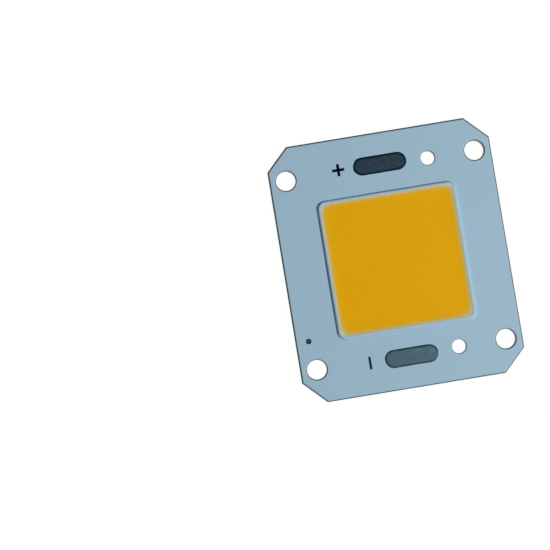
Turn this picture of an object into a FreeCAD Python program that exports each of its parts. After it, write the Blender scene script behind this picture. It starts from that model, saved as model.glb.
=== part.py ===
import FreeCAD, Part
import math
import os
import Sketcher

# A chip-on-board light-emitting module: rows of small dies on a metal plate, wired in strings between two
# copper bus bars, ringed by a silicone dam and covered with phosphor. It lies flat with its lit face up.
# The origin is the centre of the plate's back face. X runs across the board, Y along it, and Z out of
# the lit face.

doc = FreeCAD.newDocument("chip_on_board_module")

# Driving dimensions, in millimetres: alias, value and what it measures
DIMENSIONS = (
    ("board_width", 40.0, "board across, along X"),
    ("board_length", 46.0, "board along Y"),
    ("corner_cut", 4.0, "what each corner cut takes off both sides"),
    ("plate_thickness", 1.0, "metal plate"),
    ("back_edge_break", 0.1, "bevel round the back of the plate"),
    ("screw_pitch", 34.0, "mounting holes, centre to centre both ways"),
    ("screw_hole", 3.5, "mounting hole diameter"),
    ("lead_hole", 2.5, "diameter of the hole beside each solder pad"),
    ("lead_hole_across", 8.6, "lead hole from the board's centre, along X"),
    ("lead_hole_along", 17.0, "lead holes from the board's centre, along Y"),
    ("laminate_thickness", 0.2, "insulating laminate on the plate, without its coat"),
    ("coat_thickness", 0.06, "pale coat on the laminate, which also covers the tracks"),
    ("face_edge_break", 0.1, "bevel round the lit face, where the punch rolled the edge over"),
    ("well_side", 21.6, "square opening through the laminate, where the dies sit on the plate"),
    ("well_cut", 0.5, "what the corners of the openings for the dies are cut off by"),
    ("coat_opening_width", 22.4, "opening in the coat round the well, along X"),
    ("coat_opening_length", 22.7, "the same opening along Y, which bares the bus bars for the wires"),
    ("copper_thickness", 0.035, "copper tracks on the laminate"),
    ("bus_length", 21.2, "bus bar beside the well, along X"),
    ("bus_inner", 10.95, "inner edge of the bus bar from the centre, along Y"),
    ("bus_outer", 13.3, "outer edge of the bus bar"),
    ("land_length", 10.4, "copper under the solder pad, along X"),
    ("land_outer", 19.4, "outer edge of that copper from the centre, along Y"),
    ("pad_length", 9.5, "solder pad from end to end, along X"),
    ("pad_width", 3.2, "solder pad along Y, and the diameter of its round ends"),
    ("pad_along", 17.34, "solder pads from the board's centre, along Y"),
    ("pad_thickness", 0.09, "tin on the copper"),
    ("pad_slope_rise", 0.05, "height of the slope round a pad's top"),
    ("pad_slope_run", 0.3, "width of that slope"),
    ("spot_diameter", 1.0, "tinned disc at which the board's temperature is measured"),
    ("spot_thickness", 0.08, "the same disc above the laminate"),
    ("spot_across", 17.62, "temperature spot from the centre, towards -X"),
    ("spot_along", 11.82, "temperature spot from the centre, towards -Y"),
    ("dam_side", 24.2, "square that the dam's centre line follows"),
    ("dam_corner", 1.1, "corner radius of that centre line"),
    ("dam_width", 1.1, "dam at its foot"),
    ("dam_height", 0.5, "dam above the coat"),
    ("dam_crown", 0.45, "radius of the dam's round top, which its straight flanks run up to"),
    ("dam_across", 0.2, "place of the square's middle along X"),
    ("dam_along", -0.15, "the same along Y"),
    ("fill_height", 0.34, "phosphor above the coat"),
    ("string_count", 12, "strings of dies side by side"),
    ("string_pitch", 1.83, "from string to string, along X"),
    ("string_dies", 10, "dies in one string"),
    ("die_pitch", 2.17, "from die to die in a string, along Y"),
    ("die_width", 0.6, "die along X"),
    ("die_length", 1.0, "die along Y"),
    ("die_height", 0.12, "die above the plate"),
    ("first_bond", 0.3, "outer end of a wire's first bond from the middle of its die"),
    ("second_bond", 0.15, "outer end of a wire's second bond from the middle of its die"),
    ("bus_bond", 11.2, "outer end of a second bond on the bus bar, along Y"),
    ("wire_width", 0.04, "gold wire across its flat underside"),
    ("wire_height", 0.035, "gold wire from its underside to its ridge, with a round wire's area"),
    ("loop_rise", 0.15, "top of a wire loop above the higher bond"),
    ("loop_neck", 0.3, "top of a wire loop from its first bond, along Y"),
)

sheet = doc.addObject("Spreadsheet::Sheet", "Dimensions")
for row, (alias, value, meaning) in enumerate(DIMENSIONS, start=1):
    sheet.set(f"A{row}", meaning)
    sheet.set(f"B{row}", str(value))
    sheet.setAlias(f"B{row}", alias)
doc.recompute()

# Levels above the back of the plate, as expressions of the sheet
PLATE_TOP = "Dimensions.plate_thickness"
LAMINATE_TOP = f"({PLATE_TOP} + Dimensions.laminate_thickness)"
COPPER_TOP = f"({LAMINATE_TOP} + Dimensions.copper_thickness)"
FACE = f"({LAMINATE_TOP} + Dimensions.coat_thickness)"
FILL_TOP = f"({FACE} + Dimensions.fill_height)"
DIE_TOP = f"({PLATE_TOP} + Dimensions.die_height)"

# How a sketch names its origin, and the start, end and centre of a piece of its geometry
ORIGIN = -1
START, END, CENTRE = 1, 2, 3

# Two levels closer than this are one, in millimetres
CLOSE = 1e-6


def size(expression):
    """Value of an expression of the sheet."""
    return float(sheet.evalExpression(expression))


def minus(expression):
    """The same expression with its sign changed."""
    return f"-({expression})"


def new_body(name):
    """Empty body of one sub-part."""
    body = doc.addObject("PartDesign::Body", name)
    body.Label = name
    return body


def datum(body, role):
    """Plane or axis of the body's own origin."""
    return next(feature for feature in body.Origin.OriginFeatures if feature.Role == role)


def new_sketch(body, name, role="XY_Plane", level=None):
    """Sketch on one of the body's origin planes, lifted to a level of the sheet."""
    sketch = body.newObject("Sketcher::SketchObject", f"{body.Label}_{name}")
    sketch.AttachmentSupport = [(datum(body, role), "")]
    sketch.MapMode = "FlatFace"
    if level:
        sketch.setExpression("AttachmentOffset.Base.z", level)
    return sketch


def bind(sketch, kind, *target, to):
    """Add a dimension to the sketch and bind it to an expression of the sheet."""
    index = sketch.addConstraint(Sketcher.Constraint(kind, *target, size(to)))
    sketch.setExpression(f"Constraints[{index}]", to)


def pin(sketch, geometry, point, x, y):
    """Hold a point of the geometry at x and y from the sketch's origin."""
    bind(sketch, "DistanceX", ORIGIN, START, geometry, point, to=x)
    bind(sketch, "DistanceY", ORIGIN, START, geometry, point, to=y)


def draw_polygon(sketch, corners):
    """Closed outline of straight lines through corners, each a pair of expressions."""
    points = [FreeCAD.Vector(size(x), size(y), 0) for x, y in corners]
    first = sketch.GeometryCount
    last = first + len(points) - 1
    for start, end in zip(points, points[1:] + points[:1]):
        sketch.addGeometry(Part.LineSegment(start, end))
    for line in range(first, last):
        sketch.addConstraint(Sketcher.Constraint("Coincident", line, END, line + 1, START))
    sketch.addConstraint(Sketcher.Constraint("Coincident", last, END, first, START))
    for line, (x, y) in enumerate(corners, start=first):
        pin(sketch, line, START, x, y)


def draw_circle(sketch, x, y, diameter):
    """Circle about x and y."""
    middle = FreeCAD.Vector(size(x), size(y), 0)
    circle = sketch.addGeometry(Part.Circle(middle, FreeCAD.Vector(0, 0, 1), size(diameter) / 2))
    pin(sketch, circle, CENTRE, x, y)
    bind(sketch, "Diameter", circle, to=diameter)


def draw_belt(sketch, centres, radius):
    """Outline of a belt stretched round equal circles, whose centres go counter-clockwise."""
    reach = size(radius)
    points = [FreeCAD.Vector(size(x), size(y), 0) for x, y in centres]
    following = points[1:] + points[:1]
    count = len(points)
    first = sketch.GeometryCount
    headings = [math.atan2(b.y - a.y, b.x - a.x) - math.pi / 2 for a, b in zip(points, following)]
    for start, end, heading in zip(points, following, headings):
        outward = FreeCAD.Vector(math.cos(heading), math.sin(heading), 0) * reach
        sketch.addGeometry(Part.LineSegment(start + outward, end + outward))
    for middle, before, after in zip(following, headings, headings[1:] + headings[:1]):
        turn = (after - before) % (2 * math.pi)
        circle = Part.Circle(middle, FreeCAD.Vector(0, 0, 1), reach)
        sketch.addGeometry(Part.ArcOfCircle(circle, before, before + turn))
    for step in range(count):
        line, arc = first + step, first + count + step
        next_line = first + (step + 1) % count
        sketch.addConstraint(Sketcher.Constraint("Tangent", line, END, arc, START))
        sketch.addConstraint(Sketcher.Constraint("Tangent", arc, END, next_line, START))
        pin(sketch, arc, CENTRE, *centres[(step + 1) % count])
        bind(sketch, "Radius", arc, to=radius)


def draw_rounded_square(sketch, side, corner):
    """Square about the origin with round corners."""
    arm = f"({side} / 2 - {corner})"
    away = minus(arm)
    draw_belt(sketch, ((away, away), (arm, away), (arm, arm), (away, arm)), corner)


def draw_cut_rectangle(sketch, width, length, cut):
    """Rectangle about the origin with its four corners cut off."""
    across, along = f"{width} / 2", f"{length} / 2"
    inner_across, inner_along = f"{across} - {cut}", f"{along} - {cut}"
    draw_polygon(
        sketch,
        (
            (inner_across, minus(along)),
            (across, minus(inner_along)),
            (across, inner_along),
            (inner_across, along),
            (minus(inner_across), along),
            (minus(across), inner_along),
            (minus(across), minus(inner_along)),
            (minus(inner_across), minus(along)),
        ),
    )


def draw_holes(sketch):
    """The four mounting holes and the two lead holes."""
    screw = "Dimensions.screw_pitch / 2"
    for x in (minus(screw), screw):
        for y in (minus(screw), screw):
            draw_circle(sketch, x, y, "Dimensions.screw_hole")
    for y in (minus("Dimensions.lead_hole_along"), "Dimensions.lead_hole_along"):
        draw_circle(sketch, "Dimensions.lead_hole_across", y, "Dimensions.lead_hole")


def draw_track(sketch, side):
    """Bus bar beside the well, with the land that carries the solder pad, on the side given by its sign."""
    bus, land = "Dimensions.bus_length / 2", "Dimensions.land_length / 2"
    edges = ("bus_inner", "bus_outer", "land_outer")
    inner, middle, outer = (f"{side} * Dimensions.{edge}" for edge in edges)
    draw_polygon(
        sketch,
        (
            (minus(bus), inner),
            (bus, inner),
            (bus, middle),
            (land, middle),
            (land, outer),
            (minus(land), outer),
            (minus(land), middle),
            (minus(bus), middle),
        ),
    )


def draw_pad(sketch, side):
    """Solder pad with round ends, on the side given by its sign."""
    arm = "(Dimensions.pad_length - Dimensions.pad_width) / 2"
    y = f"{side} * Dimensions.pad_along"
    draw_belt(sketch, ((minus(arm), y), (arm, y)), "Dimensions.pad_width / 2")


def pad_up(body, sketch, thickness):
    """Solid of the sketch, built upwards."""
    pad = body.newObject("PartDesign::Pad", f"{sketch.Label}_pad")
    pad.Profile = sketch
    pad.setExpression("Length", thickness)
    doc.recompute()
    return pad


def cut_out(body, sketch, depth=None, upwards=False):
    """Cut the sketch out of the body, right through or to a depth, and make sure that the cut took effect."""
    before = body.Shape.Volume
    pocket = body.newObject("PartDesign::Pocket", f"{sketch.Label}_cut")
    pocket.Profile = sketch
    pocket.Reversed = upwards
    if depth:
        pocket.setExpression("Length", depth)
    else:
        pocket.Type = "ThroughAll"
    doc.recompute()
    if not body.Shape.Volume < before:
        raise RuntimeError(f"{pocket.Label} cuts nothing")


def make_board_layer(name, bottom, top):
    """One layer of the board: its outline from level to level, with the six holes in it."""
    body = new_body(name)
    outline = new_sketch(body, "outline", level=bottom)
    draw_cut_rectangle(outline, "Dimensions.board_width", "Dimensions.board_length", "Dimensions.corner_cut")
    pad_up(body, outline, f"{top} - {bottom}")
    holes = new_sketch(body, "holes", level=top)
    draw_holes(holes)
    cut_out(body, holes)
    return body


def bevel_rim(body, level, width):
    """Bevel the board's outline at one level, but not the rims of its holes."""
    solid = body.Tip
    height = size(level)
    rim = []
    for number, edge in enumerate(solid.Shape.Edges, start=1):
        box = edge.BoundBox
        lies_there = abs(box.ZMin - height) < CLOSE and abs(box.ZMax - height) < CLOSE
        outside = max(abs(edge.CenterOfMass.x), abs(edge.CenterOfMass.y)) > size("Dimensions.screw_pitch / 2")
        if lies_there and outside and isinstance(edge.Curve, Part.Line):
            rim.append(f"Edge{number}")
    bevel = body.newObject("PartDesign::Chamfer", f"{body.Label}_bevel")
    bevel.Base = (solid, rim)
    bevel.setExpression("Size", width)
    doc.recompute()


def make_base_plate():
    """Aluminium plate, with a fine bevel round the outline of its back."""
    body = make_board_layer("base_plate", "0", PLATE_TOP)
    bevel_rim(body, "0", "Dimensions.back_edge_break")
    return body


def make_laminate():
    """Insulating laminate with its pale coat. A well through it bares the plate for the dies, and the coat is
    open round the well, at the solder pads and at the temperature spot. The tracks lie under the coat."""
    body = make_board_layer("circuit_laminate", PLATE_TOP, FACE)
    bevel_rim(body, FACE, "Dimensions.face_edge_break")
    well = new_sketch(body, "well", level=FACE)
    draw_cut_rectangle(well, "Dimensions.well_side", "Dimensions.well_side", "Dimensions.well_cut")
    cut_out(body, well)
    coat = new_sketch(body, "coat_opening", level=FACE)
    draw_cut_rectangle(
        coat, "Dimensions.coat_opening_width", "Dimensions.coat_opening_length", "Dimensions.well_cut"
    )
    cut_out(body, coat, "Dimensions.coat_thickness")
    spot = new_sketch(body, "spot_opening", level=FACE)
    draw_circle(spot, "-Dimensions.spot_across", "-Dimensions.spot_along", "Dimensions.spot_diameter")
    cut_out(body, spot, "Dimensions.coat_thickness")
    for pole, side in (("positive", 1), ("negative", -1)):
        opening = new_sketch(body, f"{pole}_pad_opening", level=FACE)
        draw_pad(opening, side)
        cut_out(body, opening, f"{FACE} - {COPPER_TOP}")
        slot = new_sketch(body, f"{pole}_track_slot", level=LAMINATE_TOP)
        draw_track(slot, side)
        cut_out(body, slot, "Dimensions.copper_thickness", upwards=True)
    return body


def make_track(name, side):
    """Copper track of one pole."""
    body = new_body(name)
    outline = new_sketch(body, "outline", level=LAMINATE_TOP)
    draw_track(outline, side)
    pad_up(body, outline, "Dimensions.copper_thickness")
    return body


def make_pad(name, side):
    """Tinned solder pad, with a shallow slope round its top."""
    body = new_body(name)
    outline = new_sketch(body, "outline", level=COPPER_TOP)
    draw_pad(outline, side)
    solid = pad_up(body, outline, "Dimensions.pad_thickness")
    top = max(range(len(solid.Shape.Faces)), key=lambda number: solid.Shape.Faces[number].CenterOfMass.z)
    slope = body.newObject("PartDesign::Chamfer", f"{name}_slope")
    slope.Base = (solid, [f"Face{top + 1}"])
    slope.ChamferType = "Two distances"
    slope.setExpression("Size", "Dimensions.pad_slope_rise")
    slope.setExpression("Size2", "Dimensions.pad_slope_run")
    return body


def make_spot():
    """Tinned disc at which the board's temperature is measured."""
    disc = doc.addObject("Part::Cylinder", "temperature_spot")
    disc.Label = "temperature_spot"
    disc.setExpression("Radius", "Dimensions.spot_diameter / 2")
    disc.setExpression("Height", "Dimensions.spot_thickness")
    disc.setExpression("Placement.Base.x", "-Dimensions.spot_across")
    disc.setExpression("Placement.Base.y", "-Dimensions.spot_along")
    disc.setExpression("Placement.Base.z", LAMINATE_TOP)
    return disc


def draw_bead(sketch, middle):
    """Section of the dam about a middle line: flat foot, straight flanks and a round top tangent to them."""
    half, reach = "Dimensions.dam_width / 2", "Dimensions.dam_crown"
    centre = f"({FACE} + Dimensions.dam_height - {reach})"
    outer, inner = f"{middle} - {half}", f"{middle} + {half}"
    height = size(f"{centre} - {FACE}")
    foot_to_centre = math.hypot(size(half), height)
    turn = math.pi / 2 - math.asin(size(reach) / foot_to_centre) - math.atan2(height, size(half))
    crown = FreeCAD.Vector(size(middle), size(centre), 0)
    outer_foot, inner_foot = (FreeCAD.Vector(size(edge), size(FACE), 0) for edge in (outer, inner))
    outer_touch, inner_touch = (
        crown + FreeCAD.Vector(way * math.cos(turn), math.sin(turn), 0) * size(reach) for way in (-1, 1)
    )
    base = sketch.addGeometry(Part.LineSegment(outer_foot, inner_foot))
    rise = sketch.addGeometry(Part.LineSegment(inner_foot, inner_touch))
    circle = Part.Circle(crown, FreeCAD.Vector(0, 0, 1), size(reach))
    top = sketch.addGeometry(Part.ArcOfCircle(circle, turn, math.pi - turn))
    fall = sketch.addGeometry(Part.LineSegment(outer_touch, outer_foot))
    sketch.addConstraint(Sketcher.Constraint("Coincident", base, END, rise, START))
    sketch.addConstraint(Sketcher.Constraint("Tangent", rise, END, top, START))
    sketch.addConstraint(Sketcher.Constraint("Tangent", top, END, fall, START))
    sketch.addConstraint(Sketcher.Constraint("Coincident", fall, END, base, START))
    pin(sketch, base, START, outer, FACE)
    pin(sketch, base, END, inner, FACE)
    pin(sketch, top, CENTRE, middle, centre)
    bind(sketch, "Radius", top, to=reach)


def make_dam():
    """Silicone dam: a bead laid on the coat along a square with round corners."""
    body = new_body("silicone_dam")
    path = new_sketch(body, "path", level=FACE)
    draw_rounded_square(path, "Dimensions.dam_side", "Dimensions.dam_corner")
    start_of_side = "-(Dimensions.dam_side / 2 - Dimensions.dam_corner)"
    section = new_sketch(body, "section", role="YZ_Plane", level=start_of_side)
    draw_bead(section, "-Dimensions.dam_side / 2")
    pipe = body.newObject("PartDesign::AdditivePipe", "silicone_dam_bead")
    pipe.Profile = section
    pipe.Spine = path
    place_dam(body)
    return body


def place_dam(body):
    """Move a body drawn about the origin to where the dam was laid, a little off the board's centre."""
    body.setExpression("Placement.Base.x", "Dimensions.dam_across")
    body.setExpression("Placement.Base.y", "Dimensions.dam_along")


def make_die_string(number):
    """One string of dies, glued to the plate in a straight row along Y."""
    body = new_body(f"die_string_{number:02d}")
    across, along = "Dimensions.die_width / 2", "Dimensions.die_length / 2"
    first = "-(Dimensions.string_dies - 1) / 2 * Dimensions.die_pitch"
    outline = new_sketch(body, "outline", level=PLATE_TOP)
    near, far = f"{first} - {along}", f"{first} + {along}"
    draw_polygon(outline, ((minus(across), near), (across, near), (across, far), (minus(across), far)))
    die = pad_up(body, outline, "Dimensions.die_height")
    repeat_along_string(body, die, "Dimensions.string_dies")
    place_string(body, number)
    return body


def repeat_along_string(body, feature, count):
    """Repeat a feature of one die at each die of the string."""
    row = body.newObject("PartDesign::LinearPattern", f"{body.Label}_row")
    row.Originals = [feature]
    row.Direction = (datum(body, "Y_Axis"), [""])
    row.Mode = "Spacing"
    row.setExpression("Offset", "Dimensions.die_pitch")
    row.setExpression("Occurrences", count)
    body.Tip = row
    doc.recompute()


def place_string(body, number):
    """Move a string to its place across the board; the first one is at the -X side."""
    from_middle = f"({number - 1} - (Dimensions.string_count - 1) / 2)"
    body.setExpression("Placement.Base.x", f"{from_middle} * Dimensions.string_pitch")


def wire_section(body, name, base, ridge, **place):
    """Section of a wire: a triangle with its base across the string and its ridge over the middle."""
    sketch = new_sketch(body, name, **place)
    half = "Dimensions.wire_width / 2"
    draw_polygon(sketch, ((minus(half), base), (half, base), ("0", ridge)))
    return sketch


def make_wire(body, name, start, end, end_level):
    """One gold wire along Y: up steeply from its first bond on a die, then down a slope to its second one.
    Level cuts through both runs are the bonds, which lie flat on what they are pressed to."""
    neck = f"({start} + Dimensions.loop_neck)"
    top = f"({end_level} + Dimensions.loop_rise)"
    first_foot = f"Dimensions.loop_neck * Dimensions.wire_height / ({top} - {DIE_TOP})"
    second_foot = f"({end} - {neck}) * Dimensions.wire_height / Dimensions.loop_rise"
    bond = wire_section(body, f"{name}_first_bond", f"{start} + {first_foot}", start, level=DIE_TOP)
    loop = wire_section(
        body, f"{name}_loop_top", f"{top} - Dimensions.wire_height", top, role="XZ_Plane", level=minus(neck)
    )
    stitch = wire_section(body, f"{name}_second_bond", f"{end} - {second_foot}", end, level=end_level)
    wire = body.newObject("PartDesign::AdditiveLoft", f"{body.Label}_{name}_wire")
    wire.Profile = bond
    wire.Sections = [loop, stitch]
    wire.Ruled = True
    doc.recompute()
    return wire


def make_wire_string(number):
    """The gold wires of one string: from die to die, and from the two end dies to the bus bars."""
    body = new_body(f"wire_string_{number:02d}")
    last_die = "(Dimensions.string_dies - 1) / 2 * Dimensions.die_pitch"
    start = f"Dimensions.first_bond - {last_die}"
    end = f"Dimensions.die_pitch - Dimensions.second_bond - {last_die}"
    link = make_wire(body, "link", start, end, DIE_TOP)
    repeat_along_string(body, link, "Dimensions.string_dies - 1")
    lead = make_wire(body, "lead", f"{last_die} + Dimensions.first_bond", "Dimensions.bus_bond", COPPER_TOP)
    body.Tip = lead
    mirror = body.newObject("PartDesign::Mirrored", f"{body.Label}_other_lead")
    mirror.Originals = [lead]
    mirror.MirrorPlane = (datum(body, "XZ_Plane"), [""])
    body.Tip = mirror
    place_string(body, number)
    return body


def make_phosphor(surroundings):
    """Phosphor poured inside the dam: the whole space up to the fill level, less all that it flows round."""
    blank = new_body("phosphor_blank")
    outline = new_sketch(blank, "outline", level=PLATE_TOP)
    draw_rounded_square(outline, "Dimensions.dam_side", "Dimensions.dam_corner")
    pad_up(blank, outline, f"{FILL_TOP} - {PLATE_TOP}")
    place_dam(blank)
    filling = blank
    for name, pieces in surroundings:
        mould = doc.addObject("Part::Compound", f"mould_{name}")
        mould.Links = pieces
        poured = doc.addObject("Part::Cut", f"poured_round_{name}")
        poured.Base = filling
        poured.Tool = mould
        doc.recompute()
        filling = poured
    filling.Label = "phosphor_layer"
    return filling


base_plate = make_base_plate()
laminate = make_laminate()
tracks = [make_track("positive_track", 1), make_track("negative_track", -1)]
pads = [make_pad("positive_pad", 1), make_pad("negative_pad", -1)]
spot = make_spot()
dam = make_dam()
string_numbers = range(1, int(size("Dimensions.string_count")) + 1)
dies = [make_die_string(number) for number in string_numbers]
wires = [make_wire_string(number) for number in string_numbers]
phosphor = make_phosphor(
    (("dam", [dam]), ("laminate", [laminate]), ("tracks", tracks), ("dies", dies), ("wires", wires))
)
doc.recompute()

for item in doc.Objects:
    if "Invalid" in item.State or "Error" in item.State:
        raise RuntimeError(f"{item.Label} did not build: {item.State}")

os.makedirs("parts", exist_ok=True)
for node in [base_plate, laminate, *tracks, *pads, spot, dam, phosphor, *dies, *wires]:
    if node.Shape.isNull() or not node.Shape.isValid():
        raise RuntimeError(f"{node.Label} has no valid solid")
    node.Shape.exportStep(f"parts/{node.Label}.step")
    print(f"{node.Label}: {len(node.Shape.Solids)} solids, {node.Shape.Volume:.4f} mm3")
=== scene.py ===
import logging
import math
from dataclasses import asdict, dataclass
from enum import Enum
from typing import Any

import bpy
import numpy as np
from mathutils import Matrix, Vector


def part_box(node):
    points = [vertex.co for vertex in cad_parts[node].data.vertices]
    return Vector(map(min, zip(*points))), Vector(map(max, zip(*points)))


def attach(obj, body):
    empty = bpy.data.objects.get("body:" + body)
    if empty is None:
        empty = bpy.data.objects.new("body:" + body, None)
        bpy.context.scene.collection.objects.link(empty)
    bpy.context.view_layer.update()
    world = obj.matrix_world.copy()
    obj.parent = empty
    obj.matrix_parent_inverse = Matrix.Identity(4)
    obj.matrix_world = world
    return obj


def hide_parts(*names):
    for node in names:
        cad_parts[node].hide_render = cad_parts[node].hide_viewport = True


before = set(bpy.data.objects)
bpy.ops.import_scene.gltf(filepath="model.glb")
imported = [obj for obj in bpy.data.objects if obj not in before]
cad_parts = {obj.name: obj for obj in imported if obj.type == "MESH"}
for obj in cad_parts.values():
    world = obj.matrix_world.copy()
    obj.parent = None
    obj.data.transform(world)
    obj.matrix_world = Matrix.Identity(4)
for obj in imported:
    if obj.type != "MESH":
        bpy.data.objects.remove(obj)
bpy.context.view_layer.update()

# A light-emitting chip-on-board module lying on a white floor with its lit face up. Sizes are in millimetres,
# and become metres where a mesh or a node takes them. The part's own frame is kept: X across the board, Y
# along it and Z out of the lit face.

LOG = logging.getLogger("module")
MM = 0.001
COLOUR = "NodeSocketColor"
NUMBER = "NodeSocketFloat"
VECTOR = "NodeSocketVector"

# Most of what smooth noise gives lies between these two values.
NOISE_RANGE = (0.3, 0.7)

# Rays that see the background as white.
RAYS = ("Is Camera Ray", "Is Glossy Ray", "Is Transmission Ray")

Array = np.ndarray
Pair = tuple[float, float]
Triple = tuple[float, float, float]
Colour = Triple
Socket = bpy.types.NodeSocket
Tree = bpy.types.NodeTree
Material = bpy.types.Material


def node_box(node: str) -> tuple[Array, Array]:
    """Lowest and highest corner of a node of the frame, in millimetres."""
    low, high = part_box(node)
    return np.array(low) / MM, np.array(high) / MM


def linear(red: int, green: int, blue: int) -> Colour:
    """Colour in proportion to light from a colour as a screen shows it.

    A screen's curve is a straight foot and, above it, a power of 2.4.

    Args:
        red: the red part, 0 to 255.
        green: the green part.
        blue: the blue part.

    Returns:
        The three parts, 0 to 1.
    """
    shares = np.array([red, green, blue]) / 255
    foot, curve = shares / 12.92, ((shares + 0.055) / 1.055) ** 2.4
    return tuple(float(part) for part in np.where(shares <= 0.04045, foot, curve))


def toned(colour: Colour, times: float) -> Colour:
    """The colour made so many times as light, up to white."""
    return tuple(min(1.0, times * part) for part in colour)


# Surfaces


def sheet(x: Array, y: Array, level: Array | float, middle: Array | Pair = (0.0, 0.0)) -> Array:
    """Grid of points from places about a middle and a level, as rows by columns by three."""
    return np.stack([x + middle[0], y + middle[1], np.broadcast_to(level, x.shape)], axis=-1)


def grid_faces(rows: int, columns: int, wrap_rows: bool = False, wrap_columns: bool = False) -> Array:
    """Quads of a grid whose points are numbered row by row.

    Args:
        rows: points down the grid.
        columns: points along a row.
        wrap_rows: whether the last row joins the first.
        wrap_columns: whether the last column joins the first.

    Returns:
        Four point numbers for each quad, counter-clockwise where x goes with the column and y with the row.
    """
    spans = (np.arange(rows - 1 + wrap_rows), np.arange(columns - 1 + wrap_columns))
    row, column = np.meshgrid(*spans, indexing="ij")
    next_row, next_column = (row + 1) % rows, (column + 1) % columns
    corners = ((row, column), (row, next_column), (next_row, next_column), (next_row, column))
    return np.stack([(down * columns + along).ravel() for down, along in corners], axis=1)


def rim_of_grid(rows: int, columns: int) -> Array:
    """Numbers of the points on a grid's rim, counter-clockwise, each once."""
    numbers = np.arange(rows * columns).reshape(rows, columns)
    return np.concatenate((numbers[0, :-1], numbers[:-1, -1], numbers[-1, :0:-1], numbers[:0:-1, 0]))


@dataclass(frozen=True)
class RoundPatch:
    """Flat patch with round corners, as a grid of places and each place's distance from the rim."""

    half: Pair
    corner: float
    cells: tuple[int, int]
    rim_width: float
    crowding: float = 1.3

    def places(self) -> tuple[Array, Array, Array]:
        """Places across and along, and how far each lies inside the rim.

        A point in the square block at a corner has its distance from the block's inner corner cut to the
        larger of its two parts, so that the block's outer sides become an arc.

        Returns:
            Three arrays of one shape.
        """
        half_x, half_y = self.half
        x, y = np.meshgrid(*(self._steps(*pair) for pair in zip(self.half, self.cells)))
        inside = np.minimum(half_x - np.abs(x), half_y - np.abs(y))
        inner_x = np.clip(x, self.corner - half_x, half_x - self.corner)
        inner_y = np.clip(y, self.corner - half_y, half_y - self.corner)
        away_x, away_y = x - inner_x, y - inner_y
        reach = np.maximum(np.abs(away_x), np.abs(away_y))
        distance = np.hypot(away_x, away_y)
        shrink = np.divide(reach, distance, out=np.ones_like(reach), where=distance > 0)
        return inner_x + away_x * shrink, inner_y + away_y * shrink, inside

    def _steps(self, half: float, cells: int) -> Array:
        """Places from one rim to the other, closer together near both.

        A quarter of the cells lies in each band of rim_width, where the surface bends most, and grows inwards
        with a power of its number.

        Args:
            half: half of the way from rim to rim.
            cells: cells on the way.

        Returns:
            The places.
        """
        crowded = cells // 4
        rim = half - self.rim_width * np.linspace(0, 1, crowded + 1)[:-1] ** self.crowding
        middle = np.linspace(-1, 1, cells - 2 * crowded + 1) * (half - self.rim_width)
        return np.concatenate([-rim, middle, rim[::-1]])


def closed_slab(top: Array, rings: list[Array], bottom: Array) -> tuple[Array, Array]:
    """Close a grid of points to a solid with rings of wall round it and a grid below.

    Args:
        top: rows by columns by three, seen from above.
        rings: places of the grid's rim further down, each as many as the rim has points.
        bottom: the same shape as top.

    Returns:
        Points, and four point numbers for each quad.
    """
    rows, columns = top.shape[:2]
    count = rows * columns
    rim = rim_of_grid(rows, columns)
    points = np.concatenate([top.reshape(-1, 3), *rings, bottom.reshape(-1, 3)])
    below = count + len(rings) * len(rim)
    between = [count + number * len(rim) + np.arange(len(rim)) for number in range(len(rings))]
    loops = [rim, *between, below + rim]
    walls = [
        np.stack([upper, lower, np.roll(lower, -1), np.roll(upper, -1)], axis=1)
        for upper, lower in zip(loops, loops[1:])
    ]
    cover = grid_faces(rows, columns)
    return points, np.concatenate([cover, *walls, below + cover[:, ::-1]])


def make_piece(
    name: str,
    points: Array,
    faces: Array | list[list[int]],
    material: Material,
    replaced: str = "",
    inside: Array | None = None,
) -> None:
    """Put a surface into the scene as a piece that rides on the part.

    Args:
        name: the piece's name.
        points: places in millimetres, in the part's frame.
        faces: point numbers of each face.
        material: what it is made of.
        replaced: the node of the frame that the piece stands for.
        inside: distance from the piece's rim for each point, which a material reads.
    """
    mesh = bpy.data.meshes.new(name)
    mesh.from_pydata((points * MM).tolist(), [], [list(map(int, face)) for face in faces])
    if inside is not None:
        attribute = mesh.attributes.new("inside", "FLOAT", "POINT")
        attribute.data.foreach_set("value", inside.astype(np.float32).ravel())
    mesh.shade_smooth()
    mesh.materials.append(material)
    piece = bpy.data.objects.new(name, mesh)
    bpy.context.scene.collection.objects.link(piece)
    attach(piece, "root")
    if replaced:
        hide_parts(replaced)
    LOG.info("%s: %d points, %d faces", name, len(mesh.vertices), len(mesh.polygons))


# Shading


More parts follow.
